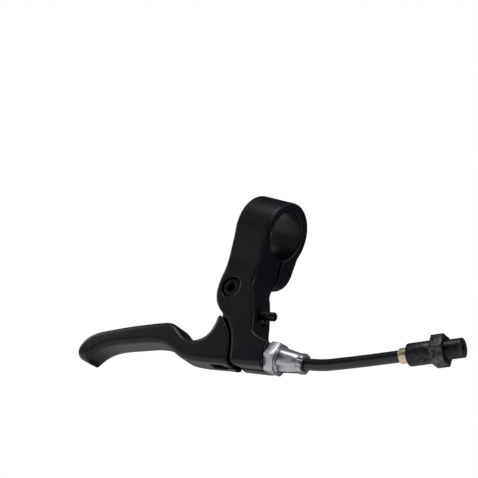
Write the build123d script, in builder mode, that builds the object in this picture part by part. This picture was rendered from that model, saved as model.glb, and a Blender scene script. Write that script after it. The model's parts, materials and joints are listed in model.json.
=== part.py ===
from build123d import *
from math import cos, pi, radians, sin, tan
import os

# Two-finger bicycle brake lever for a 22.2 mm handlebar, with its cable. Units are mm.
# The origin is the centre of the clamp bore. +X runs along the bar towards the middle of the bicycle,
# +Z points from the lever up to the bar, and -Y is the front face, which faces forwards.

os.makedirs("parts", exist_ok=True)

# ---------------------------------------------------------------- driving dimensions
# clamp
bar_radius = 11.1
bar_clearance = 0.05
clamp_wall = 4.25
clamp_width = 17.6
slit_width = 1.4
slit_angle = 24.0
slit_reach = 12.0
ear_thickness = 6.8
ear_step = 0.25
clamp_bolt_radius = 2.5
clamp_bolt_cover = 3.0
clamp_bolt_length = 16.0
clamp_bolt_engagement = 7.5
clamp_head_radius = 4.25
clamp_head_height = 5.0
clamp_hex_flats = 4.0
clamp_washer_radius = 5.0
clamp_washer_thickness = 1.0
ear_reach = 8.0
ear_tail = 2.2
ear_taper = 14.0
# bracket
neck_step = 0.1
neck_depth = 16.0
boss_depth = 14.4
boss_rise = 5.3
boss_fall = 6.3
bottom_fillet = 2.6
edge_fillet = 0.9
slot_gap = 6.8
# pivot
pivot_x = -1.2
pivot_z = -31.6
pivot_bolt_radius = 2.5
pivot_head_radius = 4.5
pivot_head_height = 2.4
pivot_head_sink = 0.5
sleeve_wall = 1.0
washer_thickness = 0.35
washer_radius = 6.0
pivot_nut_flats = 8.0
pivot_nut_height = 2.7
pivot_hex_flats = 4.0
pivot_hex_depth = 1.9
# blade
blade_depth = 13.6
blade_fillet = 2.6
tip_radius = 3.8
tongue_thickness = 6.0
tongue_ring_radius = 6.3
stop_half = 2.0
# reach screw
reach_radius = 2.0
reach_length = 12.0
reach_x = 10.5
reach_z = -39.0
reach_tilt = 10.6
reach_wall = 3.4
reach_pocket_radius = 4.6
reach_hex_flats = 2.0
reach_hex_depth = 3.0
# cable line: nut, adjuster and housing share it
cable_tilt = 7.0
boss_face_x = 29.8
boss_face_z = -54.4
stem_radius = 4.0
stem_engagement = 11.5
boss_thread_length = 12.0
nut_flats = 13.0
nut_hex_length = 5.0
nut_ring_length = 0.8
nut_ring_radius = 6.0
nut_turn = 3.5
nut_rise = 0.55
head_base_radius = 5.5
head_end_radius = 4.25
head_cone_length = 9.2
head_rim_length = 2.6
head_rim_radius = 4.5
flutes = 6
flute_radius = 3.0
flute_bite = 1.1
scallop_length = 8.0
rim_notches = 9
rim_notch_width = 1.0
rim_notch_depth = 0.5
wire_bore_radius = 1.3
cable_slot = 1.9
# cable
wire_radius = 0.75
nipple_radius = 3.5
nipple_length = 5.5
housing_radius = 2.5
jacket_wall = 0.6
coil_wall = 0.65
liner_wall = 0.25
cap_wall = 0.45
cap_length = 9.0
ferrule_wall = 0.6
end_barrel_radius = 4.7
end_barrel_length = 10.9
end_nut_flats = 12.0
end_nut_length = 5.4
end_thread_length = 7.0
barrel_end_distance = 8.0
ferrule_reach = 6.5
ferrule_floor = 1.0
wire_recess = 2.5
bend_distance = 22.2

# clearances between pieces that fit together
running = 0.05
seat_clearance = 0.05
push_fit = 0.01
nipple_gap = 0.1

# ---------------------------------------------------------------- derived places
bore_radius = bar_radius + bar_clearance
clamp_radius = bore_radius + clamp_wall
half_width = clamp_width / 2
ear_radius = half_width - ear_step
ear_end = ear_radius + ear_tail
bolt_drop = bar_radius + clamp_bolt_radius + clamp_bolt_cover
ear_wedge = (bolt_drop + ear_end) * tan(radians(ear_taper))
ear_wedge_top = slit_width / 2 + ear_thickness + ear_wedge
sleeve_radius = pivot_bolt_radius + running + sleeve_wall
slot_top = pivot_z + tongue_ring_radius + 0.8
head_seat = neck_depth / 2 - pivot_head_sink - pivot_head_height
nut_seat = neck_depth / 2 - 0.6 - pivot_nut_height

# the clamp bolt's own frame: its axis crosses the slit, z points out through the ear
slit_down = Vector(0, sin(radians(slit_angle)), -cos(radians(slit_angle)))
slit_out = Vector(0, cos(radians(slit_angle)), sin(radians(slit_angle)))
ear_plane = Plane(origin=slit_down * bolt_drop, x_dir=(1, 0, 0), z_dir=slit_out)

# the cable line's frame: z runs out of the boss along the cable, x is +Y, y points up
cable_dir = Vector(cos(radians(cable_tilt)), 0, sin(radians(cable_tilt)))
boss_face = Vector(boss_face_x, 0, boss_face_z)


def cable_plane(distance):
    """A plane across the cable line, at a distance out from the boss face."""
    return Plane(origin=boss_face + cable_dir * distance, x_dir=(0, 1, 0), z_dir=cable_dir)


reach_dir = Vector(cos(radians(reach_tilt)), 0, sin(radians(reach_tilt)))
reach_tip = Vector(reach_x, 0, reach_z)


def reach_plane(distance):
    """A plane across the reach screw, at a distance out from its tip."""
    return Plane(origin=reach_tip + reach_dir * distance, x_dir=(0, 1, 0), z_dir=reach_dir)


def pivot_plane(y):
    """A plane square to the pivot at depth y, with z pointing to the front."""
    return Plane(origin=(pivot_x, y, pivot_z), x_dir=(1, 0, 0), z_dir=(0, -1, 0))


# the nipple sits on the cable line, a little before the point nearest to the pivot
nipple_x = 6.2
nipple_distance = (boss_face_x - nipple_x) / cable_dir.X
nipple_centre = boss_face - cable_dir * nipple_distance

# places along the cable line
nut_end = nut_hex_length + nut_ring_length
head_start = nut_end + seat_clearance
rim_start = head_start + head_cone_length
head_end = rim_start + head_rim_length
cap_start = head_end - cap_length - 0.2
jacket_start = cap_start + 1.0
cap_radius = housing_radius + seat_clearance + cap_wall
sleeve_length = slot_gap - 2 * running

# ---------------------------------------------------------------- lever body
# front outline of the bracket, from the left of the clamp down round the lobe to the boss
lobe_edge = [(-half_width + neck_step, -14), (-8.6, -24.3), (-8.5, -31), (-6.4, -38.2), (-2, -42.6), (2.2, -44.9)]
gap_edge = [(2.2, -44.9), (7, -48.2), (11.4, -54.2), (14.2, -60.6), (15, -63.8)]
boss_up = Vector(-sin(radians(cable_tilt)), 0, cos(radians(cable_tilt)))
boss_corner = boss_face + boss_up * boss_rise
boss_foot = boss_face - boss_up * boss_fall
shelf_edge = [(boss_corner.X, boss_corner.Z), (24.4, -48.5), (20, -46.8), (17.6, -42.4), (14.9, -37), (10.8, -29.6),
              (half_width - neck_step, -20)]

with BuildPart() as side_profile:
    # the bracket seen from the side: round the bar at the top, tapering to the boss
    with BuildSketch(Plane.YZ) as side_sketch:
        with BuildLine():
            front_tangent = (-clamp_radius * cos(radians(19)), -clamp_radius * sin(radians(19)))
            front_knee = (-neck_depth / 2 - 0.5, -22)
            front_foot = (-boss_depth / 2, -70)
            back_foot = (boss_depth / 2, -70)
            back_top = (neck_depth / 2, -22)
            FilletPolyline(front_tangent, front_knee, front_foot, radius=30)
            Polyline(front_foot, back_foot, back_top, (2, -10), front_tangent)
        make_face()
    extrude(amount=60, both=True)

with BuildPart() as ear_outline:
    # both ears of the clamp, rounded about the clamp bolt, as one block across the slit
    with BuildSketch(ear_plane.offset(-ear_reach)) as ear_sketch:
        with BuildLine():
            Line((-ear_radius, -bolt_drop), (-ear_radius, ear_tail))
            ThreePointArc((-ear_radius, ear_tail), (0, ear_radius + ear_tail), (ear_radius, ear_tail))
            Polyline((ear_radius, ear_tail), (ear_radius, -bolt_drop), (-ear_radius, -bolt_drop))
        make_face()
    extrude(amount=ear_reach + slit_width / 2 + ear_thickness + ear_wedge)
    # the outer face leans back towards the ring
    with BuildSketch(Plane(origin=ear_plane.origin, x_dir=slit_down, z_dir=(1, 0, 0))) as ear_lean:
        with BuildLine():
            Polyline(
                (-bolt_drop, ear_wedge_top), (ear_end, ear_thickness + slit_width / 2), (ear_end + 5, ear_thickness),
                (ear_end + 5, ear_wedge_top + 10), (-bolt_drop, ear_wedge_top + 10), close=True,
            )
        make_face()
    extrude(amount=clamp_width, both=True, mode=Mode.SUBTRACT)

with BuildPart() as clamp_ring:
    with BuildSketch(Plane.YZ.offset(-half_width)):
        Circle(clamp_radius)
    extrude(amount=clamp_width)
    add(ear_outline.part)
    with BuildSketch(Plane.YZ.offset(-half_width)):
        Circle(bore_radius)
    extrude(amount=clamp_width, mode=Mode.SUBTRACT)
    # the slit across the ears, and a spotface for the clamp bolt's washer
    with BuildSketch(ear_plane.offset(-slit_width / 2)):
        with Locations((0, (slit_reach - bolt_drop) / 2)):
            Rectangle(clamp_width + 2, bolt_drop + slit_reach)
    extrude(amount=slit_width, mode=Mode.SUBTRACT)
    with BuildSketch(ear_plane.offset(slit_width / 2 + ear_thickness)):
        Circle(clamp_washer_radius + 0.3)
    extrude(amount=20, mode=Mode.SUBTRACT)

with BuildPart() as lever_body:
    with BuildSketch(Plane.XZ) as front_sketch:
        with BuildLine():
            Spline(*lobe_edge, tangents=[(0, -1), (1, -0.55)])
            Spline(*gap_edge, tangents=[(1, -0.55), (0.15, -1)])
            Polyline(gap_edge[-1], (boss_foot.X, boss_foot.Z), shelf_edge[0])
            Spline(*shelf_edge, tangents=[(-1, 0.12), (0, 1)])
            Polyline(shelf_edge[-1], (shelf_edge[-1][0], 2), (lobe_edge[0][0], 2), lobe_edge[0])
        make_face()
    extrude(amount=40, both=True)
    add(side_profile.part, mode=Mode.INTERSECT)
    face_edges = edges().filter_by(GeomType.BSPLINE).filter_by(lambda e: abs(e.center().Y) > 6 and e.length > 5)
    fillet(face_edges, radius=edge_fillet)
    long_lines = edges().filter_by(GeomType.LINE).filter_by(lambda e: e.length > 10 and e.center().Z < -60)
    fillet(long_lines.filter_by(lambda e: abs(e.center().Y) > 5), radius=bottom_fillet)
    # the clamp ring, and the handlebar bore through the neck's top
    add(clamp_ring.part)
    with BuildSketch(Plane.YZ.offset(-half_width - 1)):
        Circle(bore_radius)
    extrude(amount=clamp_width + 2, mode=Mode.SUBTRACT)
    # threaded hole for the clamp bolt
    with BuildSketch(ear_plane.offset(-clamp_bolt_engagement - 1)):
        Circle(clamp_bolt_radius + running)
    extrude(amount=30, mode=Mode.SUBTRACT)
    # slot for the blade's tongue, open to the left and below
    with BuildSketch(Plane.XZ) as slot_sketch:
        with BuildLine():
            Polyline(
                (-40, slot_top), (pivot_x, slot_top), (pivot_x + 5.4, slot_top - 2), (pivot_x + 7.2, pivot_z + 0.5),
                (reach_x + 0.9, reach_z + 3.2), (reach_x + 1.1, -43.5), (reach_x + 1.9, -52),
                (boss_face_x - boss_thread_length, boss_face_z + 4.2), (boss_face_x - boss_thread_length, -80),
                (-40, -80), close=True,
            )
        make_face()
    extrude(amount=slot_gap / 2, both=True, mode=Mode.SUBTRACT)
    # pivot: through hole, round counterbore in front, hexagonal pocket behind
    with BuildSketch(pivot_plane(neck_depth)):
        Circle(pivot_bolt_radius + running)
    extrude(amount=2 * neck_depth, mode=Mode.SUBTRACT)
    with BuildSketch(pivot_plane(-head_seat)):
        Circle(pivot_head_radius + 0.25)
    extrude(amount=8, mode=Mode.SUBTRACT)
    with BuildSketch(pivot_plane(nut_seat)):
        RegularPolygon(pivot_nut_flats / 2 + 0.1, 6, major_radius=False)
    extrude(amount=-8, mode=Mode.SUBTRACT)
    # reach screw: threaded hole through the right wall and its spotface pocket
    with BuildSketch(reach_plane(-2)):
        Circle(reach_radius + running)
    extrude(amount=20, mode=Mode.SUBTRACT)
    with BuildSketch(reach_plane(reach_wall)):
        Circle(reach_pocket_radius)
    extrude(amount=12, mode=Mode.SUBTRACT)
    # adjuster thread and the cable slot below it
    with BuildSketch(cable_plane(0.5)):
        Circle(stem_radius + running)
    extrude(amount=-boss_thread_length - 2, mode=Mode.SUBTRACT)
    with BuildSketch(cable_plane(0.5)):
        with Locations((0, -10)):
            Rectangle(cable_slot, 20)
    extrude(amount=-boss_thread_length - 2, mode=Mode.SUBTRACT)

lever_body.part.label = "lever_body"
export_step(lever_body.part, "parts/lever_body.step")

# ---------------------------------------------------------------- clamp bolt and washer
washer_seat = slit_width / 2 + ear_thickness
with BuildPart() as clamp_washer:
    with BuildSketch(ear_plane.offset(washer_seat)):
        Circle(clamp_washer_radius)
        Circle(clamp_bolt_radius + running, mode=Mode.SUBTRACT)
    extrude(amount=clamp_washer_thickness)
clamp_washer.part.label = "clamp_washer"
export_step(clamp_washer.part, "parts/clamp_washer.step")

head_seat_clamp = washer_seat + clamp_washer_thickness
with BuildPart() as clamp_bolt:
    with BuildSketch(ear_plane.offset(head_seat_clamp)):
        Circle(clamp_head_radius)
    extrude(amount=clamp_head_height)
    chamfer(edges().sort_by(Axis(ear_plane.origin, slit_out))[-1], length=0.4)
    with BuildSketch(ear_plane.offset(head_seat_clamp)):
        Circle(clamp_bolt_radius)
    extrude(amount=-clamp_bolt_length)
    with BuildSketch(ear_plane.offset(head_seat_clamp + clamp_head_height)):
        RegularPolygon(clamp_hex_flats / 2, 6, major_radius=False)
    extrude(amount=-0.55 * clamp_head_height, mode=Mode.SUBTRACT)
clamp_bolt.part.label = "clamp_bolt"
export_step(clamp_bolt.part, "parts/clamp_bolt.step")

# ---------------------------------------------------------------- lever blade
# outline of the blade: the gap side from the horn tip down, the underside to the tip, and back along the top
blade_gap = [(-0.6, -44.9), (3.4, -47.4), (6.6, -50.2), (9.8, -54), (11.7, -58), (13.5, -63)]
blade_under = [(13.5, -64.6), (3, -66.7), (-6, -68.4), (-12, -68.6), (-18.5, -66.9), (-25, -66), (-33, -67.4),
               (-42, -70.6), (-51, -74), (-57.4, -77.6), (-61, -81.6), (-62, -85.8)]
blade_top = [(-70, -85.4), (-70.4, -81.4), (-69.2, -76.8), (-66, -72.8), (-58.6, -68.5), (-48, -63.6), (-38.6, -59.7),
             (-29.5, -56.2), (-24.8, -55.2), (-20, -56.6), (-15, -58.9), (-11, -59.5), (-7, -58), (-3.8, -54.9),
             (-2.5, -50.5), (-2.7, -45.8)]

# the tongue's stop face stands square to the reach screw, a running gap off its tip
stop_middle = reach_tip - reach_dir * running
stop_up = Vector(-reach_dir.Z, 0, reach_dir.X) * stop_half
stop_top = stop_middle + stop_up
stop_foot = stop_middle - stop_up

with BuildPart() as lever_blade:
    with BuildSketch(Plane.XZ) as blade_sketch:
        with BuildLine():
            Spline(*blade_gap)
            Line(blade_gap[-1], blade_under[0])
            Spline(*blade_under)
            Line(blade_under[-1], blade_top[0])
            Spline(*blade_top)
            Line(blade_top[-1], blade_gap[0])
        make_face()
    extrude(amount=blade_depth / 2, both=True)
    fillet(edges().filter_by(Axis.Y).sort_by(Axis.X)[:2], radius=tip_radius)
    rims = edges().filter_by(lambda e: abs(e.center().Y) > blade_depth / 2 - 0.1)
    fillet(rims.filter_by(lambda e: e.length > 60 or e.center().X < -58), radius=blade_fillet)
    # the tongue that hangs the blade on its pivot
    with BuildSketch(Plane.XZ) as tongue_sketch:
        with BuildLine():
            Polyline(
                (-7, -34), (-1, -47.5), (3, -53), (9, -55), (11.5, -51.5), (11.3, -44),
                (stop_foot.X, stop_foot.Z), (stop_top.X, stop_top.Z), (6, -32.5), close=True,
            )
        make_face()
        with Locations((pivot_x, pivot_z)):
            Circle(tongue_ring_radius)
    extrude(amount=tongue_thickness / 2, both=True)
    with BuildSketch(pivot_plane(tongue_thickness)):
        Circle(sleeve_radius + push_fit)
    extrude(amount=2 * tongue_thickness, mode=Mode.SUBTRACT)
    # pocket for the cable nipple, open below, and the slot that lets the wire in and out
    with BuildSketch(Plane.XZ) as pocket_sketch:
        with Locations((nipple_centre.X, nipple_centre.Z)):
            Circle(nipple_radius + running)
        with Locations((nipple_centre.X, nipple_centre.Z - 10)):
            Rectangle(2 * (nipple_radius + running), 20)
    extrude(amount=nipple_length / 2 + nipple_gap, both=True, mode=Mode.SUBTRACT)
    with BuildSketch(cable_plane(-nipple_distance)):
        Circle(cable_slot / 2)
        with Locations((0, -10)):
            Rectangle(cable_slot, 20)
    extrude(amount=40, mode=Mode.SUBTRACT)

lever_blade.part.label = "lever_blade"
export_step(lever_blade.part, "parts/lever_blade.step")

# ---------------------------------------------------------------- pivot
with BuildPart() as pivot_sleeve:
    with BuildSketch(pivot_plane(sleeve_length / 2)):
        Circle(sleeve_radius)
        Circle(pivot_bolt_radius + running, mode=Mode.SUBTRACT)
    extrude(amount=sleeve_length)
pivot_sleeve.part.label = "pivot_sleeve"
export_step(pivot_sleeve.part, "parts/pivot_sleeve.step")

for washer_name, washer_y in (("rear_pivot_washer", tongue_thickness / 2 + washer_thickness),
                              ("front_pivot_washer", -tongue_thickness / 2)):
    with BuildPart() as pivot_washer:
        with BuildSketch(pivot_plane(washer_y)):
            Circle(washer_radius)
            Circle(sleeve_radius + running, mode=Mode.SUBTRACT)
        extrude(amount=washer_thickness)
    pivot_washer.part.label = washer_name
    export_step(pivot_washer.part, f"parts/{washer_name}.step")

with BuildPart() as pivot_bolt:
    with BuildSketch(pivot_plane(-head_seat)):
        Circle(pivot_head_radius)
    extrude(amount=pivot_head_height)
    chamfer(edges().sort_by(Axis.Y)[0], length=0.7)
    with BuildSketch(pivot_plane(-head_seat)):
        Circle(pivot_bolt_radius)
    extrude(amount=-(head_seat + nut_seat + pivot_nut_height))
    with BuildSketch(pivot_plane(-head_seat - pivot_head_height)):
        RegularPolygon(pivot_hex_flats / 2, 6, major_radius=False)
    extrude(amount=-pivot_hex_depth, mode=Mode.SUBTRACT)
pivot_bolt.part.label = "pivot_bolt"
export_step(pivot_bolt.part, "parts/pivot_bolt.step")

with BuildPart() as pivot_nut:
    with BuildSketch(pivot_plane(nut_seat)):
        RegularPolygon(pivot_nut_flats / 2, 6, major_radius=False)
        Circle(pivot_bolt_radius + running, mode=Mode.SUBTRACT)
    extrude(amount=-pivot_nut_height)
pivot_nut.part.label = "pivot_nut"
export_step(pivot_nut.part, "parts/pivot_nut.step")

# ---------------------------------------------------------------- reach screw
with BuildPart() as reach_screw:
    with BuildSketch(reach_plane(0)):
        Circle(reach_radius)
    extrude(amount=reach_length)
    chamfer(edges().sort_by(Axis(reach_tip, reach_dir)), length=0.35)
    with BuildSketch(reach_plane(reach_length)):
        RegularPolygon(reach_hex_flats / 2, 6, major_radius=False)
    extrude(amount=-reach_hex_depth, mode=Mode.SUBTRACT)
reach_screw.part.label = "reach_screw"
export_step(reach_screw.part, "parts/reach_screw.step")

# ---------------------------------------------------------------- lock nut
nut_corner = nut_flats / 2 / cos(radians(30))
with BuildPart() as lock_nut:
    with BuildSketch(cable_plane(0)):
        RegularPolygon(nut_flats / 2, 6, major_radius=False, rotation=nut_turn)
    extrude(amount=nut_hex_length)
    # both ends of the hexagon are turned to a 30 degree cone
    with BuildSketch(Plane(origin=boss_face, x_dir=cable_dir, z_dir=(0, 1, 0))) as nut_cone:
        with BuildLine():
            Polyline(
                (0, 0), (0, nut_flats / 2), (nut_rise, nut_corner), (nut_hex_length - nut_rise, nut_corner),
                (nut_hex_length, nut_flats / 2), (nut_hex_length, 0), close=True,
            )
        make_face()
    revolve(axis=Axis(boss_face, cable_dir), mode=Mode.INTERSECT)
    with BuildSketch(cable_plane(nut_hex_length)):
        Circle(nut_ring_radius)
    extrude(amount=nut_ring_length)
    chamfer(edges().sort_by(Axis(boss_face, cable_dir))[-1], length=0.4)
    with BuildSketch(cable_plane(0)):
        Circle(stem_radius + running)
    extrude(amount=nut_end, mode=Mode.SUBTRACT)
    with BuildSketch(cable_plane(0)):
        with Locations((0, -nut_corner)):
            Rectangle(cable_slot, 2 * nut_corner)
    extrude(amount=nut_end, mode=Mode.SUBTRACT)
lock_nut.part.label = "lock_nut"
export_step(lock_nut.part, "parts/lock_nut.step")

# ---------------------------------------------------------------- barrel adjuster
# one scallop: a round cut parallel to the axis, open at the nut end, that runs out where the cone narrows
scallop_centre = head_base_radius + flute_radius - flute_bite
with BuildPart() as scallop:
    with BuildSketch(cable_plane(head_start - 1)):
        with Locations((0, scallop_centre)):
            Circle(flute_radius)
    extrude(amount=scallop_length)
    with Locations(Location(cable_plane(head_start - 1 + scallop_length)) * Location((0, scallop_centre, 0))):
        Sphere(flute_radius)

with BuildPart() as rim_notch:
    with BuildSketch(cable_plane(rim_start)):
        with Locations((0, head_rim_radius)):
            Rectangle(rim_notch_width, 2 * rim_notch_depth)
    extrude(amount=head_rim_length + 1)

with BuildPart() as barrel_adjuster:
    with BuildSketch(cable_plane(-stem_engagement)):
        Circle(stem_radius)
    extrude(amount=stem_engagement + head_start)
    with BuildSketch(Plane(origin=boss_face, x_dir=cable_dir, z_dir=(0, 1, 0))) as head_section:
        with BuildLine():
            Polyline(
                (head_start, 0), (head_start, head_base_radius - 0.4), (head_start + 0.4, head_base_radius),
                (rim_start, head_end_radius), (rim_start, head_rim_radius - 0.3), (rim_start + 0.3, head_rim_radius),
                (head_end - 0.3, head_rim_radius), (head_end, head_rim_radius - 0.3), (head_end, 0), close=True,
            )
        make_face()
    revolve(axis=Axis(boss_face, cable_dir))
    for turn in range(flutes):
        add(scallop.part.rotate(Axis(boss_face, cable_dir), (turn + 0.5) * 360 / flutes), mode=Mode.SUBTRACT)
    for turn in range(rim_notches):
        add(rim_notch.part.rotate(Axis(boss_face, cable_dir), turn * 360 / rim_notches), mode=Mode.SUBTRACT)
    # wire bore, and the mouth that takes the housing's end cap
    with BuildSketch(cable_plane(-stem_engagement)):
        Circle(wire_bore_radius)
    extrude(amount=stem_engagement + head_end, mode=Mode.SUBTRACT)
    with BuildSketch(cable_plane(cap_start)):
        Circle(cap_radius + running)
    extrude(amount=head_end - cap_start, mode=Mode.SUBTRACT)
    # slot for taking the wire out sideways
    with BuildSketch(cable_plane(-stem_engagement)):
        with Locations((0, -head_base_radius)):
            Rectangle(cable_slot, 2 * head_base_radius)
    extrude(amount=stem_engagement + head_end, mode=Mode.SUBTRACT)
barrel_adjuster.part.label = "barrel_adjuster"
export_step(barrel_adjuster.part, "parts/barrel_adjuster.step")

# ---------------------------------------------------------------- cable housing
def route_point(distance):
    """A point on the straight part of the cable line."""
    point = boss_face + cable_dir * distance
    return (point.X, point.Z)


first_bend = route_point(bend_distance)
cable_bends = [first_bend, (65.7, -46), (79.7, -39.9)]
far_end = Vector(93.4, -33.7)
far_dir = (far_end - Vector(*cable_bends[-1])).normalized()
housing_route = [route_point(jacket_start)] + cable_bends + [(far_end.X, far_end.Y)]
wire_end = far_end + far_dir * (barrel_end_distance + end_nut_length + end_thread_length - wire_recess)
wire_route = [route_point(-nipple_distance)] + cable_bends + [(wire_end.X, wire_end.Y)]


def bend_radii(route):
    """The largest arcs that leave a little straight between neighbours: 0.45 of the shorter run each."""
    radii = []
    for before, corner, after in zip(route, route[1:], route[2:]):
        run_in = Vector(*corner) - Vector(*before)
        run_out = Vector(*after) - Vector(*corner)
        half_turn = radians(run_in.get_angle(run_out)) / 2
        radii.append(0.45 * min(run_in.length, run_out.length) / tan(half_turn))
    return radii


cable_radii = bend_radii(housing_route)
print("cable bend radii, mm:", [round(radius, 1) for radius in cable_radii])


def layer_section(outer, inner):
    """Area of a ring between two radii."""
    return pi * (outer ** 2 - inner ** 2)


def cable_path(route):
    """The centre line of a cable layer, in the XZ plane."""
    with BuildLine(Plane(origin=(0, 0, 0), x_dir=(1, 0, 0), z_dir=(0, -1, 0))) as path:
        FilletPolyline(*route, radius=cable_radii)
    return path.wire()


def far_plane(distance):
    """A plane across the cable's far end, at a distance past the end of the housing."""
    spot = far_end + far_dir * distance
    return Plane(origin=(spot.X, 0, spot.Y), x_dir=(0, 1, 0), z_dir=(far_dir.X, 0, far_dir.Y))


coil_radius = housing_radius - jacket_wall
liner_radius = coil_radius - coil_wall
for layer_name, outer, inner in (("housing_jacket", housing_radius, coil_radius),
                                 ("housing_coil", coil_radius, liner_radius),
                                 ("housing_liner", liner_radius, liner_radius - liner_wall)):
    with BuildPart() as layer:
        with BuildSketch(cable_plane(jacket_start)):
            Circle(outer)
            Circle(inner, mode=Mode.SUBTRACT)
        sweep(path=cable_path(housing_route))
    layer.part.label = layer_name
    export_step(layer.part, f"parts/{layer_name}.step")
    print(layer_name, "volume", round(layer.part.volume, 1), "of",
          round(layer_section(outer, inner) * cable_path(housing_route).length, 1))

with BuildPart() as inner_wire:
    with BuildSketch(cable_plane(-nipple_distance)):
        Circle(wire_radius)
    sweep(path=cable_path(wire_route))
inner_wire.part.label = "inner_wire"
export_step(inner_wire.part, "parts/inner_wire.step")

with BuildPart() as cable_nipple:
    with BuildSketch(Plane.XZ) as nipple_sketch:
        with Locations((nipple_centre.X, nipple_centre.Z)):
            Circle(nipple_radius)
    extrude(amount=nipple_length / 2, both=True)
    with BuildSketch(cable_plane(-nipple_distance)):
        Circle(wire_radius + push_fit)
    extrude(amount=2 * nipple_radius, mode=Mode.SUBTRACT)
cable_nipple.part.label = "cable_nipple"
export_step(cable_nipple.part, "parts/cable_nipple.step")

# ---------------------------------------------------------------- housing end fittings
cap_bore = housing_radius + seat_clearance
with BuildPart() as housing_end_cap:
    with BuildSketch(cable_plane(cap_start)):
        Circle(cap_radius)
    extrude(amount=cap_length)
    with BuildSketch(cable_plane(jacket_start)):
        Circle(cap_bore)
    extrude(amount=cap_length, mode=Mode.SUBTRACT)
    with BuildSketch(cable_plane(cap_start)):
        Circle(wire_bore_radius)
    extrude(amount=cap_length, mode=Mode.SUBTRACT)
housing_end_cap.part.label = "housing_end_cap"
export_step(housing_end_cap.part, "parts/housing_end_cap.step")

ferrule_radius = cap_bore + ferrule_wall
with BuildPart() as cable_end_ferrule:
    with BuildSketch(far_plane(-ferrule_reach)):
        Circle(ferrule_radius)
    extrude(amount=ferrule_reach + ferrule_floor)
    chamfer(edges().sort_by(Axis((0, 0, 0), (far_dir.X, 0, far_dir.Y)))[0], length=0.3)
    with BuildSketch(far_plane(-ferrule_reach)):
        Circle(cap_bore)
    extrude(amount=ferrule_reach, mode=Mode.SUBTRACT)
    with BuildSketch(far_plane(-ferrule_reach)):
        Circle(wire_bore_radius)
    extrude(amount=ferrule_reach + ferrule_floor, mode=Mode.SUBTRACT)
cable_end_ferrule.part.label = "cable_end_ferrule"
export_step(cable_end_ferrule.part, "parts/cable_end_ferrule.step")

with BuildPart() as cable_end_barrel:
    with BuildSketch(far_plane(barrel_end_distance - end_barrel_length)):
        Circle(end_barrel_radius)
    extrude(amount=end_barrel_length)
    fillet(edges().sort_by(Axis((0, 0, 0), (far_dir.X, 0, far_dir.Y)))[0], radius=0.8)
    with BuildSketch(far_plane(barrel_end_distance)):
        Circle(stem_radius)
    extrude(amount=end_nut_length + end_thread_length)
    with BuildSketch(far_plane(barrel_end_distance - end_barrel_length)):
        Circle(ferrule_radius + running)
    extrude(amount=end_barrel_length - barrel_end_distance + ferrule_floor, mode=Mode.SUBTRACT)
    with BuildSketch(far_plane(0)):
        Circle(wire_bore_radius)
    extrude(amount=40, mode=Mode.SUBTRACT)
cable_end_barrel.part.label = "cable_end_barrel"
export_step(cable_end_barrel.part, "parts/cable_end_barrel.step")

with BuildPart() as cable_end_nut:
    with BuildSketch(far_plane(barrel_end_distance)):
        RegularPolygon(end_nut_flats / 2, 6, major_radius=False, rotation=nut_turn)
        Circle(stem_radius + running, mode=Mode.SUBTRACT)
    extrude(amount=end_nut_length)
cable_end_nut.part.label = "cable_end_nut"
export_step(cable_end_nut.part, "parts/cable_end_nut.step")
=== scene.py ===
# %% [markdown]
# # A bicycle brake lever
# The part is a two-finger brake lever for a 22.2 mm handlebar. A cast bracket clamps round the bar, a
# forged blade turns in its slot, and a silver barrel adjuster takes the end of a brake cable. The packed
# CAD model is loaded first. It is the frame: every piece below sits where its solids are, in metres.
# %% Load the frame
import bpy
import json
import math
from mathutils import Matrix, Vector


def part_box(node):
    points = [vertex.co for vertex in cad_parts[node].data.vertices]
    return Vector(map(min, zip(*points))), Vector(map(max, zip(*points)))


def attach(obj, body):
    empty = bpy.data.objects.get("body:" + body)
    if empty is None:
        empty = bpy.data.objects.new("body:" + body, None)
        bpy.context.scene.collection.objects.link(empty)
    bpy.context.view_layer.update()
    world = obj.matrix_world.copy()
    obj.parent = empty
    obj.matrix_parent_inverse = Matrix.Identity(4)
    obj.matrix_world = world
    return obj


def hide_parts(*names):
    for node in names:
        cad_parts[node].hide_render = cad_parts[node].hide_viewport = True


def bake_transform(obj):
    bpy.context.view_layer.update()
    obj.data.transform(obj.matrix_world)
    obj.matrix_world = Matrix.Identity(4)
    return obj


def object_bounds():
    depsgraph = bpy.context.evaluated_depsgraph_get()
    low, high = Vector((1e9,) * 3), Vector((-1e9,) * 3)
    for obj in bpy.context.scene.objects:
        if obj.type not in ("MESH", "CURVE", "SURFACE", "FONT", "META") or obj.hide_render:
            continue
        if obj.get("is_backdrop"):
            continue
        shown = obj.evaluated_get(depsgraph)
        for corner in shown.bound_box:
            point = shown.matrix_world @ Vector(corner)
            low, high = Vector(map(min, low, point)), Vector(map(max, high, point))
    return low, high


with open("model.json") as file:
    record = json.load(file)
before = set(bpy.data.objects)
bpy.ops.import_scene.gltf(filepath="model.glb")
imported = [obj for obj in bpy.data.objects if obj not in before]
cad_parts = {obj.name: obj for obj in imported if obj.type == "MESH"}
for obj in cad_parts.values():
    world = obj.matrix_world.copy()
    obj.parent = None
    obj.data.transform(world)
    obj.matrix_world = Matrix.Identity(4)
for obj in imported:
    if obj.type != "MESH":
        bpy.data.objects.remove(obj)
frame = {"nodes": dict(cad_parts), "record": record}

cad_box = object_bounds()
nodes = frame["nodes"]
joints = {joint["name"]: joint for joint in frame["record"]["behaviour"]["joints"]}
print("pieces from the CAD model:", ", ".join(sorted(nodes)))

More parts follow.
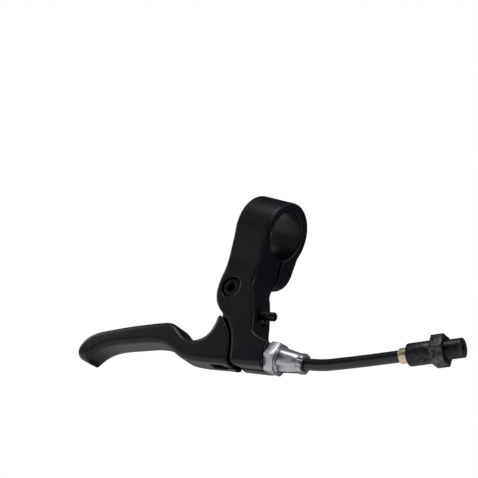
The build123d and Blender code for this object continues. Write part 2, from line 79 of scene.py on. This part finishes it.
# %% [markdown]
# ## Camera
# The camera stands to the right of the lever and a little below it, about half a metre off, with a long
# lens. It leans a few degrees, so its three directions are written out instead of an angle and a target.
# %% Camera
camera_data = bpy.data.cameras.new("camera")
camera_data.lens = 92.57
camera_data.sensor_width = 36
camera_data.clip_start = 0.01
camera = bpy.data.objects.new("camera", camera_data)
bpy.context.scene.collection.objects.link(camera)
camera_right = Vector((0.7516, 0.5029, 0.4269))
camera_up = Vector((-0.2079, -0.4336, 0.8768))
camera_back = Vector((0.6260, -0.7477, -0.2213))
turn = Matrix((camera_right, camera_up, camera_back)).transposed().to_4x4()
camera.matrix_world = Matrix.Translation((0.338589, -0.423162, -0.132244)) @ turn
bpy.context.scene.camera = camera
print("camera stands", round(camera.location.length, 3), "m from the clamp")

# %% [markdown]
# ## The cable line
# Three things share one straight line: the cable nipple in the blade, the barrel adjuster and the first
# stretch of the housing. The adjuster's slide joint gives its direction, and the nipple gives a point on
# it.
# %% The cable line
cable_dir = Vector(joints["adjuster_travel"]["axis"]).normalized()
nipple_low, nipple_high = (Vector(corner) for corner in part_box("cable_nipple"))
nipple_centre = (nipple_low + nipple_high) / 2
boss_face_x = 0.0298
boss_face = nipple_centre + cable_dir * ((boss_face_x - nipple_centre.x) / cable_dir.x)
pivot = Vector(joints["lever_pivot"]["pos_m"])
print("cable leaves", round((pivot - nipple_centre).cross(cable_dir).length * 1000, 1), "mm below the pivot")

# %% [markdown]
# ## Cable housing
# The housing is a springy 5 mm hose, so it is a curve and not a mesh: a NURBS line with a few control
# points, given a round section. Its first stretch is held straight by the adjuster's mouth. From there it
# swings up to the fitting at its far end. The line is of third order with its ends pinned, which keeps it
# free of corners. Each point carries the cable's radius, so the curve's box is no wider than the cable.
# %% Cable housing curve
def smooth_line(name, points, radius):
    """A round cable along a NURBS line with these control points. The points carry the radius."""
    curve = bpy.data.curves.new(name, "CURVE")
    curve.dimensions = "3D"
    curve.bevel_depth = 1
    curve.bevel_resolution = 8
    curve.use_fill_caps = True
    spline = curve.splines.new("NURBS")
    spline.points.add(len(points) - 1)
    for place, point in zip(spline.points, points):
        place.co = (*point, 1)
        place.radius = radius
    spline.order_u = 3
    spline.use_endpoint_u = True
    spline.resolution_u = 24
    piece = bpy.data.objects.new(name, curve)
    bpy.context.scene.collection.objects.link(piece)
    return piece


def line_length(piece):
    """Length of a curve, measured on its own line."""
    bare = piece.data.copy()
    bare.bevel_depth = 0
    line = bpy.data.objects.new("line", bare)
    mesh = bpy.data.meshes.new_from_object(line)
    length = sum((mesh.vertices[edge.vertices[0]].co - mesh.vertices[edge.vertices[1]].co).length
                 for edge in mesh.edges)
    bpy.data.objects.remove(line)
    return length


housing_radius = 0.0025
housing_start = 0.0095
housing_route = [boss_face + cable_dir * housing_start, (0.05183, 0, -0.0517), (0.0657, 0, -0.046),
                 (0.0797, 0, -0.0399), (0.0934, 0, -0.0337)]
housing = smooth_line("cable_housing", housing_route, housing_radius)
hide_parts("housing_jacket")
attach(housing, "housing")
print("housing is", round(line_length(housing) * 1000, 1), "mm long")

# %% [markdown]
# ## Shader maths
# Materials are built from nodes. A small class wraps a socket so that `1 - mask` or `grain * 0.2 + 0.4`
# adds the Math nodes for it. Every other node comes from one method, which sets a node's options before its
# sockets.
# %% Shader helpers
OBJECT_COORDINATES = 3
POINTINESS = 7
VECTOR_VALUE = 1
MIX_FACTOR, MIX_FIRST, MIX_SECOND, MIX_COLOUR = 0, 6, 7, 2


class Field:
    """A value inside a material that can be used in Python arithmetic."""

    def __init__(self, shop, socket):
        self.shop = shop
        self.socket = socket

    def _with(self, operation, other, swap=False):
        pair = (other, self) if swap else (self, other)
        return self.shop.node("ShaderNodeMath", {"operation": operation}, {0: pair[0], 1: pair[1]})

    def __add__(self, other):
        return self._with("ADD", other)

    def __radd__(self, other):
        return self._with("ADD", other)

    def __sub__(self, other):
        return self._with("SUBTRACT", other)

    def __rsub__(self, other):
        return self._with("SUBTRACT", other, swap=True)

    def __mul__(self, other):
        return self._with("MULTIPLY", other)


class Shop:
    """One material, with a method that makes any node in it."""

    def __init__(self, name):
        self.material = bpy.data.materials.new(name)
        self.material.use_nodes = True
        self.tree = self.material.node_tree
        self.shader = self.tree.nodes["Principled BSDF"]

    def node(self, kind, options=None, inputs=None, output=0):
        made = self.tree.nodes.new(kind)
        for option, value in (options or {}).items():
            setattr(made, option, value)
        for name, value in (inputs or {}).items():
            if isinstance(value, Field):
                self.tree.links.new(value.socket, made.inputs[name])
            else:
                made.inputs[name].default_value = value
        return Field(self, made.outputs[output])

    def set(self, **inputs):
        for name, value in inputs.items():
            socket = self.shader.inputs[name.replace("_", " ")]
            if isinstance(value, Field):
                self.tree.links.new(value.socket, socket)
            else:
                socket.default_value = value

    def place(self):
        return self.node("ShaderNodeTexCoord", output=OBJECT_COORDINATES)

    def noise(self, scale, detail=3, roughness=0.5):
        return self.node("ShaderNodeTexNoise", {}, {"Scale": scale, "Detail": detail, "Roughness": roughness,
                                                    "Vector": self.place()})

    def ramp(self, value, low, high):
        """0 below low and 1 above high."""
        return self.node("ShaderNodeMapRange", {"clamp": True},
                         {"Value": value, "From Min": low, "From Max": high})

    def blend(self, mask, first, second):
        """first where the mask is 0 and second where it is 1, for colours."""
        return self.node("ShaderNodeMix", {"data_type": "RGBA"},
                         {MIX_FACTOR: mask, MIX_FIRST: first, MIX_SECOND: second}, output=MIX_COLOUR)

    def bump(self, height, strength, distance):
        return self.node("ShaderNodeBump", {}, {"Height": height, "Strength": strength, "Distance": distance})

    def sharpness(self):
        """0.5 on flat surface, more on outward corners and less in hollows."""
        return self.node("ShaderNodeNewGeometry", output=POINTINESS)

    def edges(self, low=0.52, high=0.62):
        """1 on outward corners."""
        return self.ramp(self.sharpness(), low, high)


def rgb(red, green, blue):
    return (red, green, blue, 1)


print("shader helpers ready")

# %% [markdown]
# ## Satin black alloy
# The bracket and the blade are cast and forged aluminium under a satin black coat. The coat is not a flat
# black: it pools a little, has a very fine orange peel, shows a few pale specks of dust, and carries a
# painted highlight along the corners, a lighter grey broken up by noise.
# %% Satin black alloy
def satin_black(name, edge_highlight):
    shop = Shop(name)
    cloud = shop.noise(90, 4)
    peel = shop.noise(2600, 2)
    speck = shop.ramp(shop.noise(1500, 1, 0.4), 0.785, 0.80)
    # Painted highlight: outward corners of the black coat are coloured a lighter grey, broken up by noise.
    bright_edges = shop.edges() * shop.ramp(shop.noise(400, 3), 0.45, 0.65) * edge_highlight
    coat = shop.blend(cloud, rgb(0.0018, 0.0024, 0.0046), rgb(0.0036, 0.0046, 0.0082))
    dusty = shop.blend(speck * 0.45, coat, rgb(0.16, 0.165, 0.18))
    shop.set(Base_Color=shop.blend(bright_edges, dusty, rgb(0.06, 0.063, 0.07)),
             Roughness=0.30 + cloud * 0.10 + peel * 0.05, Normal=shop.bump(peel, 0.16, 0.00006),
             Specular_IOR_Level=0.32)
    return shop.material


body_black = satin_black("satin_black_casting", 0.5)
blade_black = satin_black("satin_black_forging", 0.35)
print("satin black made for the casting and the forging")

# %% [markdown]
# ## Black oxide steel
# Screws are darker and a little sharper in their shine than the painted parts. Oxide wears off their
# corners first, so those go towards bare steel, and the sides carry a fine grain.
# %% Black oxide steel
def oxide_steel(name, shine):
    shop = Shop(name)
    grain = shop.noise(1800, 3)
    bright_edges = shop.edges(0.51, 0.58) * shop.ramp(shop.noise(700, 2), 0.35, 0.6)
    shop.set(Base_Color=shop.blend(bright_edges, rgb(0.014, 0.0145, 0.017), rgb(0.12, 0.12, 0.125)),
             Roughness=shine + grain * 0.14, Metallic=0.75 + bright_edges * 0.2,
             Normal=shop.bump(grain, 0.12, 0.00004))
    return shop.material


black_steel = oxide_steel("black_oxide_steel", 0.28)
black_anodised = oxide_steel("black_anodised_aluminium", 0.36)
print("black oxide steel made")

# %% [markdown]
# ## Turned aluminium
# The lock nut and the adjuster are turned from bright bar. A lathe leaves fine rings round the axis, so the
# pattern depends only on the distance along the cable line: the object's coordinates are projected on that
# line and fed to a noise that is stretched across it. The hollows are painted darker, as painted shade.
# %% Turned aluminium
def turned_metal(name, colour, dark, rough, axis, rings):
    shop = Shop(name)
    along = shop.node("ShaderNodeVectorMath", {"operation": "DOT_PRODUCT"},
                      {0: shop.place(), 1: tuple(axis)}, output=VECTOR_VALUE)
    ring = shop.node("ShaderNodeTexNoise", {"noise_dimensions": "1D"},
                     {"W": along * rings, "Scale": 1.0, "Detail": 2.0})
    smear = shop.noise(260, 4, 0.6)
    # Painted shade: hollows, where the surface curves inward, go towards the dark colour.
    hollow_shade = shop.ramp(0.5 - shop.sharpness(), 0.004, 0.05)
    shade = shop.blend(shop.ramp(smear, 0.35, 0.7), rgb(*colour), rgb(*[part * 0.8 for part in colour]))
    shop.set(Base_Color=shop.blend(hollow_shade * 0.6, shade, rgb(*dark)), Metallic=1.0,
             Roughness=rough + ring * 0.10 + smear * 0.12,
             Normal=shop.bump(ring + smear * 0.3, 0.22, 0.00005))
    return shop.material


pivot_dir = (0, 1, 0)
far_dir = (Vector(housing_route[4]) - Vector(housing_route[3])).normalized()
# Painted shade colour for the brass hollows; each turned metal below gets its own dark shade colour after its
# base colour.
brass_hollow_shade = (0.16, 0.11, 0.06)
bright_aluminium = turned_metal("turned_aluminium", (0.50, 0.51, 0.535), (0.12, 0.12, 0.12), 0.30,
                                cable_dir, 5200)
cap_brass = turned_metal("brass_cap", (0.74, 0.60, 0.38), brass_hollow_shade, 0.24, cable_dir, 4200)
ferrule_brass = turned_metal("brass_ferrule", (0.74, 0.62, 0.45), brass_hollow_shade, 0.26, far_dir, 4200)
sleeve_bronze = turned_metal("bronze_sleeve", (0.50, 0.34, 0.18), (0.12, 0.08, 0.04), 0.34, pivot_dir, 3000)
wire_steel = turned_metal("drawn_wire", (0.5, 0.51, 0.53), (0.1, 0.1, 0.1), 0.26, cable_dir, 2600)
zinc_steel = turned_metal("zinc_plated_steel", (0.55, 0.56, 0.57), (0.14, 0.14, 0.14), 0.28, pivot_dir, 3600)
print("turned metals made")

# %% [markdown]
# ## Plastics
# The housing's jacket is extruded black plastic: smooth, fairly glossy, with a faint long grain and a
# little dust. The pivot washers are matt black, and the liner inside the housing is milky white.
# %% Plastics
def plastic(name, dark, light, rough, dust):
    shop = Shop(name)
    mottle = shop.noise(220, 3)
    grain = shop.noise(3200, 2)
    speck = shop.ramp(shop.noise(1300, 1, 0.4), 0.775, 0.79) * dust
    tone = shop.blend(mottle, rgb(*dark), rgb(*light))
    shop.set(Base_Color=shop.blend(speck, tone, rgb(0.35, 0.35, 0.36)), Roughness=rough + mottle * 0.08,
             Normal=shop.bump(grain, 0.10, 0.00005))
    return shop.material


jacket_black = plastic("extruded_black_jacket", (0.004, 0.0045, 0.0065), (0.008, 0.0085, 0.0115), 0.26, 0.25)
washer_black = plastic("washer_plastic", (0.02, 0.02, 0.022), (0.035, 0.035, 0.038), 0.5, 0.2)
liner_white = plastic("liner_plastic", (0.66, 0.65, 0.61), (0.74, 0.73, 0.69), 0.35, 0.0)
print("plastics made")

# %% [markdown]
# ## Finishing the solids
# A cast or forged part has no knife edges. A copy of its CAD mesh is merged, rebuilt from small voxels and
# smoothed a few times, which rolls every corner by a few tenths of a millimetre. Turned and bought parts
# keep their crisp shape: the copy's flat triangles are joined back into whole faces and its corners get a
# fine bevel.
# %% Helpers for finishing
merge_distance = 0.000002
flat_angle = 1.0
corner_angle = 28


def only(piece):
    """Makes one object the selected and active one."""
    bpy.ops.object.select_all(action="DESELECT")
    piece.select_set(True)
    bpy.context.view_layer.objects.active = piece


def copy_of(node, name):
    """A merged copy of a CAD node's mesh, as its own piece."""
    piece = bpy.data.objects.new(name, nodes[node].data.copy())
    bpy.context.scene.collection.objects.link(piece)
    only(piece)
    bpy.ops.object.mode_set(mode="EDIT")
    bpy.ops.mesh.select_all(action="SELECT")
    bpy.ops.mesh.remove_doubles(threshold=merge_distance)
    bpy.ops.object.mode_set(mode="OBJECT")
    return piece


def stand_in(piece, node, body, material):
    """The piece takes the place of a CAD node on its body, with a finish."""
    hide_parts(node)
    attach(piece, body)
    piece.data.materials.clear()
    piece.data.materials.append(material)


def rolled_edges(piece, voxel, passes):
    """Rebuilds a casting from voxels and smooths it, so its corners roll over."""
    only(piece)
    remesh = piece.modifiers.new("voxels", "REMESH")
    remesh.mode = "VOXEL"
    remesh.voxel_size = voxel
    bpy.ops.object.modifier_apply(modifier="voxels")
    smooth = piece.modifiers.new("soften", "SMOOTH")
    smooth.factor = 0.5
    smooth.iterations = passes
    bpy.ops.object.modifier_apply(modifier="soften")
    bpy.ops.object.shade_smooth()


def crisp_edges(piece, width):
    """Joins flat triangles into whole faces and bevels the corners between them."""
    only(piece)
    bpy.ops.object.mode_set(mode="EDIT")
    bpy.ops.mesh.select_all(action="SELECT")
    bpy.ops.mesh.dissolve_limited(angle_limit=math.radians(flat_angle))
    bpy.ops.object.mode_set(mode="OBJECT")
    bevel = piece.modifiers.new("corner", "BEVEL")
    bevel.limit_method = "ANGLE"
    bevel.angle_limit = math.radians(corner_angle)
    bevel.width = width
    bevel.segments = 2
    bpy.ops.object.modifier_apply(modifier="corner")
    bpy.ops.object.shade_smooth_by_angle(angle=math.radians(corner_angle))


def report(piece):
    print(piece.name, "has", len(piece.data.polygons), "faces")


print("finishing helpers ready")

# %% [markdown]
# ## Bracket and blade
# These two are what the eye sees first, so they get the rolled corners. Voxels of a third of a millimetre
# keep the clamp's slit, the counterbore and the spotface round the reach screw open. The blade's tip is a
# dome: towards its end the blade narrows in depth along part of an ellipse.
# %% Bracket and blade
bracket = copy_of("lever_body", "bracket_casting")
rolled_edges(bracket, voxel=0.00034, passes=4)
stand_in(bracket, "lever_body", "bracket", body_black)
report(bracket)
blade = copy_of("lever_blade", "blade_forging")
rolled_edges(blade, voxel=0.00032, passes=5)
tip_start, tip_end, tip_narrowing = -0.0785, -0.0860, 0.55
for vertex in blade.data.vertices:
    share = (tip_start - vertex.co.z) / (tip_start - tip_end)
    if share > 0:
        vertex.co.y *= math.sqrt(1 - tip_narrowing * min(share, 1) ** 2)
stand_in(blade, "lever_blade", "blade", blade_black)
report(blade)

# %% [markdown]
# ## Bought and turned parts
# Screws, nuts, ferrules, the adjuster and the far fitting are crisp. Each keeps its CAD shape with a bevel
# of about a tenth of a millimetre, which is what catches the light on a real turned corner. Each line gives
# the body that the piece rides on, its material, its slot and its bevel. The small inner parts keep their
# CAD mesh.
# %% Bought and turned parts
crisp = {
    "pivot_bolt": ("bracket", black_steel, "black_steel", 0.00012),
    "clamp_bolt": ("bracket", black_steel, "black_steel", 0.00012),
    "clamp_washer": ("bracket", black_steel, "black_steel", 0.00008),
    "pivot_nut": ("bracket", zinc_steel, "zinc_steel", 0.00015),
    "reach_screw": ("reach_adjuster", black_steel, "black_steel", 0.00008),
    "lock_nut": ("locking_nut", bright_aluminium, "machined_aluminium", 0.00012),
    "cable_end_ferrule": ("housing", ferrule_brass, "brass", 0.0001),
    "cable_end_barrel": ("housing", black_anodised, "black_anodised_aluminium", 0.00015),
    "cable_end_nut": ("housing", black_anodised, "black_anodised_aluminium", 0.00025),
    "barrel_adjuster": ("adjuster", bright_aluminium, "machined_aluminium", 0.00006),
    "housing_end_cap": ("housing", cap_brass, "brass", 0.00008),
}
finishes = {
    "housing_coil": zinc_steel, "housing_liner": liner_white, "pivot_sleeve": sleeve_bronze,
    "front_pivot_washer": washer_black, "rear_pivot_washer": washer_black, "cable_nipple": zinc_steel,
    "inner_wire": zinc_steel,
}
for node, (body, material, slot, width) in crisp.items():
    piece = copy_of(node, node + "_finished")
    crisp_edges(piece, width)
    stand_in(piece, node, body, material)
    report(piece)
for node, material in finishes.items():
    mesh = nodes[node].data
    mesh.materials.clear()
    mesh.materials.append(material)
housing.data.materials.append(jacket_black)
print(len(crisp), "crisp pieces made, and", len(finishes), "CAD solids have their finish")

# %% [markdown]
# ## Inner wire
# The wire is two pieces, because it crosses two joints. The first runs straight from the nipple to the
# boss. The second slides with the housing. The two overlap inside the boss by as much as the adjuster
# travels, and the first is a hundredth of a millimetre thinner so that they don't touch at rest.
# %% Inner wire
def wire_piece(name, points, radius):
    """A steel wire as a mesh, following these control points."""
    piece = smooth_line(name, points, radius)
    only(piece)
    bpy.ops.object.convert(target="MESH")
    piece = bpy.context.object
    piece.data.materials.clear()
    piece.data.materials.append(wire_steel)
    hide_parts("inner_wire")
    return piece


wire_steps = 7
front_wire_radius, back_wire_radius = 0.00074, 0.00075
wire_overlap = 0.006
wire_past_housing = 0.0179
gap = boss_face - nipple_centre
front_route = [nipple_centre + gap * (step / wire_steps) for step in range(wire_steps + 1)]
front_wire = wire_piece("inner_wire_at_lever", front_route, front_wire_radius)
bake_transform(front_wire)
wire_start = boss_face - cable_dir * wire_overlap
wire_end = Vector(housing_route[-1]) + far_dir * wire_past_housing
back_wire = wire_piece("inner_wire_in_housing", [wire_start] + housing_route + [wire_end], back_wire_radius)
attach(back_wire, "housing")
report(front_wire)
report(back_wire)
line_length(housing)

# %% [markdown]
# ## Studio
# A pale floor that glows a little lies below, and the light is soft: a large lamp above and in front, one
# from the left and one from the right to draw the edges of the black parts, and a weak fill from below. The
# world is white where the camera sees it and much dimmer where it lights the part, because black metal
# mirrors all that is round it.
# %% Studio
bpy.ops.object.select_all(action="DESELECT")
floor_height = -0.24
bpy.ops.mesh.primitive_plane_add(size=0.9, location=(0, 0, floor_height))
floor = bpy.context.object
floor.name = "floor"
floor_shop = Shop("pale_floor")
floor_shop.set(Base_Color=rgb(0.8, 0.8, 0.8), Roughness=0.8, Emission_Color=rgb(1, 1, 1),
               Emission_Strength=0.4)
floor.data.materials.append(floor_shop.material)
floor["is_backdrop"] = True

world = bpy.data.worlds.new("studio")
world.use_nodes = True
bpy.context.scene.world = world
tree = world.node_tree
tree.nodes.clear()
seen = tree.nodes.new("ShaderNodeBackground")
seen.inputs["Color"].default_value = rgb(1, 1, 1)
seen.inputs["Strength"].default_value = 1.0
lit = tree.nodes.new("ShaderNodeBackground")
lit.inputs["Color"].default_value = rgb(0.86, 0.92, 1.0)
lit.inputs["Strength"].default_value = 0.045
rays = tree.nodes.new("ShaderNodeLightPath")
both = tree.nodes.new("ShaderNodeMixShader")
tree.links.new(rays.outputs["Is Camera Ray"], both.inputs[0])
tree.links.new(lit.outputs[0], both.inputs[1])
tree.links.new(seen.outputs[0], both.inputs[2])
tree.links.new(both.outputs[0], tree.nodes.new("ShaderNodeOutputWorld").inputs["Surface"])


def soft_box(name, place, target, size, power):
    """A square lamp that faces a point."""
    lamp = bpy.data.lights.new(name, "AREA")
    lamp.size = size
    lamp.energy = power
    light = bpy.data.objects.new(name, lamp)
    bpy.context.scene.collection.objects.link(light)
    light.location = place
    light.rotation_euler = (Vector(target) - Vector(place)).to_track_quat("-Z", "Y").to_euler()


middle = (0, 0, -0.04)
soft_box("key", (-0.25, -0.55, 0.75), middle, 0.35, 4)
soft_box("side", (-0.8, -0.25, 0.1), middle, 0.4, 2)
soft_box("right", (0.75, 0.1, 0.45), middle, 0.5, 2.6)
soft_box("under", (0.1, -0.5, -0.4), middle, 0.5, 0.15)
bpy.context.scene.view_settings.view_transform = "Standard"
print("studio lit with four soft boxes")

# %% [markdown]
# ## The CAD box and the finished one are measured, and how much the box grew at its top corner is printed.
# The looks may not grow the part, so the CAD box and the finished one are written side by side.
# %% Size and finish
new_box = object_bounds()
growth = [round((new - old) * 1000, 2) for new, old in zip(new_box[1], cad_box[1])]
print("box grew by", growth, "mm at its top corner")
